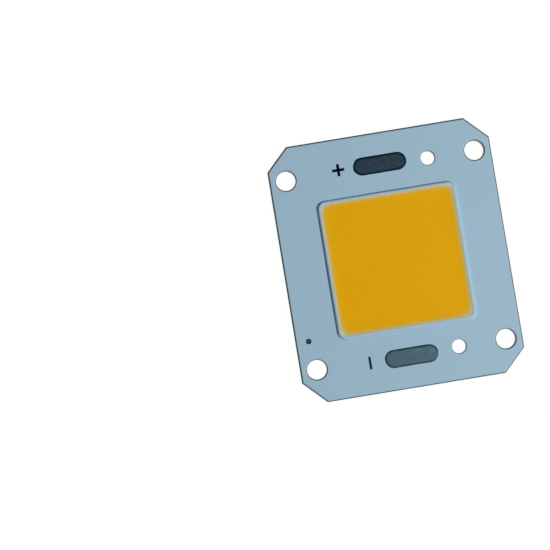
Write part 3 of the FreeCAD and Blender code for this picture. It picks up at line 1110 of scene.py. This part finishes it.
@dataclass
class Print:
    """Signs printed on the coat, and the dark temperature spot."""

    effects: EffectLibrary
    plus_at: Pair = (-7.47, 17.4)
    minus_at: Pair = (-7.46, -17.37)
    plus_length: float = 2.2
    minus_length: float = 2.27
    plus_stroke: float = 0.5
    minus_stroke: float = 0.42
    thickness: float = 0.014
    shoulder: float = 0.03
    profile: tuple[Pair, ...] = ((0.0, 0.0), (0.0, 0.5), (0.4, 0.85), (1.0, 1.0))
    spread: float = 0.05
    touch_offset: float = 0.05
    navy: Finish = InkFinish("navy_ink", linear(0, 12, 24), roughness=0.9, specular=0.02)
    teal: Finish = InkFinish("teal_ink", linear(2, 38, 50), roughness=0.9, specular=0.02)

    def build(self) -> None:
        """Print both signs and dress the spot.

        The plus is three corners of one arm, turned by a quarter again and again.
        """
        half, arm = self.plus_stroke / 2, self.plus_length / 2
        arm_end = np.array([(half, -half), (arm, -half), (arm, half)])
        quarters = ((1, 0), (0, 1), (-1, 0), (0, -1))
        turns = [np.array([(cosine, sine), (-sine, cosine)]) for cosine, sine in quarters]
        plus = np.concatenate([arm_end @ turn for turn in turns])
        self._print("plus_sign", plus, self.plus_at, self.navy.build(self.effects))
        bar = np.array([(1, -1), (1, 1), (-1, 1), (-1, -1)]) * (self.minus_stroke / 2, self.minus_length / 2)
        self._print("minus_sign", bar, self.minus_at, self.teal.build(self.effects))
        low, high = node_box("temperature_spot")
        # The painted glint sits a little off the spot's middle.
        centre = tuple((low + high)[:2] / 2 + self.touch_offset)
        spot = SpotFinish("dark_spot", linear(4, 34, 50), roughness=0.5, specular=0.15, centre=centre)
        dress(spot.build(self.effects), "temperature_spot")

    def _print(self, name: str, corners: Array, at: Pair, ink: Material) -> None:
        """Print a flat sign whose corners and edges are a little round, as ink spreads.

        Args:
            name: the piece's name.
            corners: the sign's outline, counter-clockwise.
            at: its middle on the board.
            ink: what it is printed with.
        """
        face = node_box("circuit_laminate")[1][2]
        rings = []
        for inset, share in self.profile:
            outline = self._rounded(corners, inset * self.shoulder)
            level = np.full((len(outline), 1), face + share * self.thickness)
            rings.append(np.concatenate([outline + at, level], axis=1))
        points = np.concatenate(rings)
        count = len(rings[0])
        faces = grid_faces(len(rings), count, wrap_columns=True).tolist()
        faces.append(list(range(len(points) - count, len(points))))
        faces.append(list(range(count))[::-1])
        make_piece(name, points, faces, ink)

    def _rounded(self, corners: Array, inset: float, steps: int = 5) -> Array:
        """Outline with each corner replaced by an arc, moved inwards.

        An arc is a quarter turn about the point that lies the spread along both sides from the corner. Its
        radius is the spread, less the inset at a corner that points out and plus it at one that points in.

        Args:
            corners: the outline's corners, counter-clockwise.
            inset: how far it moves inwards.
            steps: points of each arc.

        Returns:
            Points of the outline.
        """
        before, after = (np.roll(corners, step, axis=0) - corners for step in (1, -1))
        before /= np.linalg.norm(before, axis=1, keepdims=True)
        after /= np.linalg.norm(after, axis=1, keepdims=True)
        outer = np.sign(before[:, 1] * after[:, 0] - before[:, 0] * after[:, 1])
        middle = corners + (before + after) * self.spread
        radius = self.spread - inset * outer
        start = np.arctan2(-after[:, 1], -after[:, 0])
        angle = start[:, None] + outer[:, None] * np.linspace(0, np.pi / 2, steps)
        arc = np.stack([np.cos(angle), np.sin(angle)], axis=-1) * radius[:, None, None]
        return (middle[:, None, :] + arc).reshape(-1, 2)


# Stage


@dataclass(frozen=True)
class Studio:
    """Floor, lamp and background: one soft key light from the right front, and an even weak surrounding.

    Its sizes are in metres. The key points past the board's far end, so that the near end is no brighter.
    """

    surround: float = 0.1
    key_power: float = 6.85
    key_side: float = 0.25
    key_distance: float = 0.7
    key_height: float = 51.0
    key_bearing: float = -30.0
    key_aim: Triple = (0.0, 0.8, 0.0)
    floor_half: float = 3.0
    floor_drop: float = 0.00001
    floor_tone: float = 0.8
    floor_glow: float = 0.98
    floor_share: float = 0.035

    def build(self) -> None:
        """Set up the stage."""
        bpy.context.scene.view_settings.view_transform = "Standard"
        self._floor()
        self._world()
        self._key()

    def _floor(self) -> None:
        """White floor, which can't be seen from below."""
        mesh = bpy.data.meshes.new("floor")
        half = self.floor_half
        corners = ((-half, -half), (half, -half), (half, half), (-half, half))
        mesh.from_pydata([(x, y, -self.floor_drop) for x, y in corners], [], [(0, 1, 2, 3)])
        floor = bpy.data.objects.new("floor", mesh)
        bpy.context.scene.collection.objects.link(floor)
        material = bpy.data.materials.new("white_floor")
        material.use_nodes = True
        graph = Graph(material.node_tree)
        plain = graph.made("BsdfDiffuse", {"Color": (self.floor_tone,) * 3})
        weak = graph.made("BsdfDiffuse", {"Color": (self.floor_share,) * 3})
        glow = graph.made("Emission", {"Strength": self.floor_glow})
        lit = graph.made("AddShader", {0: weak, 1: glow})
        front = graph.made("MixShader", {0: self._seen(graph), 1: plain, 2: lit})
        behind = graph.add("NewGeometry").outputs["Backfacing"]
        surface = graph.made("MixShader", {0: behind, 1: front, 2: graph.made("BsdfTransparent")})
        graph.add("OutputMaterial", {"Surface": surface})
        mesh.materials.append(material)

    def _world(self) -> None:
        """Surrounding that lights the part weakly, and looks white to the camera and in mirrors."""
        world = bpy.data.worlds.new("surround")
        bpy.context.scene.world = world
        world.use_nodes = True
        graph = Graph(world.node_tree)
        strength = graph.ramp(self._seen(graph), 0, 1, self.surround, 1.0)
        graph.add("OutputWorld", {"Surface": graph.made("Background", {"Strength": strength})})

    @staticmethod
    def _seen(graph: Graph) -> Socket:
        """One where the ray comes from the camera, a mirror or glass, and zero elsewhere."""
        camera, mirror, glass = map(graph.add("LightPath").outputs.get, RAYS)
        return graph.math("MAXIMUM", camera, graph.math("MAXIMUM", mirror, glass))

    def _key(self) -> None:
        """Large square lamp to the board's right front."""
        lamp = bpy.data.lights.new("key", "AREA")
        lamp.energy = self.key_power
        lamp.shape = "SQUARE"
        lamp.size = self.key_side
        high, bearing = math.radians(self.key_height), math.radians(self.key_bearing)
        flat = math.cos(high)
        towards = Vector((flat * math.cos(bearing), flat * math.sin(bearing), math.sin(high)))
        key = bpy.data.objects.new("key", lamp)
        key.location = towards * self.key_distance
        key.rotation_euler = (key.location - Vector(self.key_aim)).to_track_quat("Z", "Y").to_euler()
        bpy.context.scene.collection.objects.link(key)


@dataclass(frozen=True)
class PhotoCamera:
    """Camera nearly straight above the board's left front, turned a little."""

    place: Triple = (-23.022, -7.62, 300.0)
    tilt: float = -1.61
    lean: float = 0.27
    roll: float = 9.358
    focal_share: float = 1688.5 / 550
    film: float = 36.0
    nearest: float = 10.0

    def build(self) -> None:
        """Set up the camera, with its place measured from the board's lit face."""
        data = bpy.data.cameras.new("camera")
        data.sensor_width = self.film
        data.lens = self.film * self.focal_share
        data.clip_start = self.nearest * MM
        turn = Matrix.Identity(3)
        for angle, axis in ((self.roll, "Z"), (self.lean, "Y"), (self.tilt, "X")):
            turn = turn @ Matrix.Rotation(math.radians(angle), 3, axis)
        face = Vector((0.0, 0.0, node_box("circuit_laminate")[1][2]))
        place = Matrix.Translation((Vector(self.place) + face) * MM)
        camera = bpy.data.objects.new("camera", data)
        camera.matrix_world = place @ turn.transposed().to_4x4()
        bpy.context.scene.collection.objects.link(camera)
        bpy.context.scene.camera = camera


def main() -> None:
    """Build the stage and every piece."""
    logging.basicConfig(level=logging.INFO, format="%(name)s: %(message)s")
    PhotoCamera().build()
    Studio().build()
    effects = EffectLibrary(BoardPlan.from_frame())
    for assembly in (Board, SolderPads, Dam, Phosphor, Chips, Print):
        assembly(effects).build()


if __name__ == "__main__":
    main()
